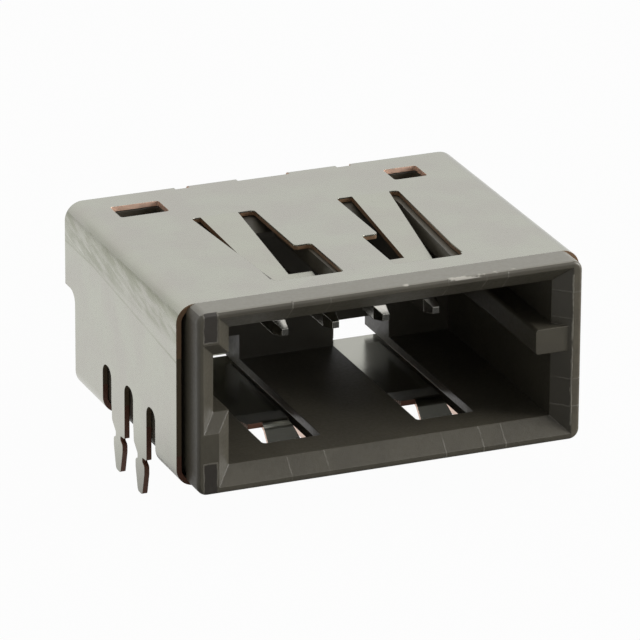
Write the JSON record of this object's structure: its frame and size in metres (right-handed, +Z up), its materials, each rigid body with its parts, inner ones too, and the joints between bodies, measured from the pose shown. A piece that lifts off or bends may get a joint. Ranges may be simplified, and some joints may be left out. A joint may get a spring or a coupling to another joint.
{
  "type": "shielded board header",
  "caption": "Shielded right-angle board header for automotive Ethernet: a keyed plastic housing in a folded metal shell with spring fingers, square contacts and board legs.",
  "frame": {"origin": "middle of the shell's front edge, on the face that sits on the board", "axes": "+X to the right as the mating face is seen, +Y from the mating face to the rear, +Z up from the board"},
  "size_m": [0.016, 0.0129, 0.0087],
  "materials": {
    "housing_plastic": "dark grey moulding, fine matt texture",
    "shell_metal": "matt tin over a copper alloy sheet, with bare cut edges",
    "contact_metal": "bright tin over a copper alloy"
  },
  "bodies": {
    "root": {"housing": "housing_plastic", "shell": "shell_metal", "contact_1": "contact_metal", "contact_2": "contact_metal", "contact_3": "contact_metal", "contact_4": "contact_metal"}
  },
  "joints": []
}
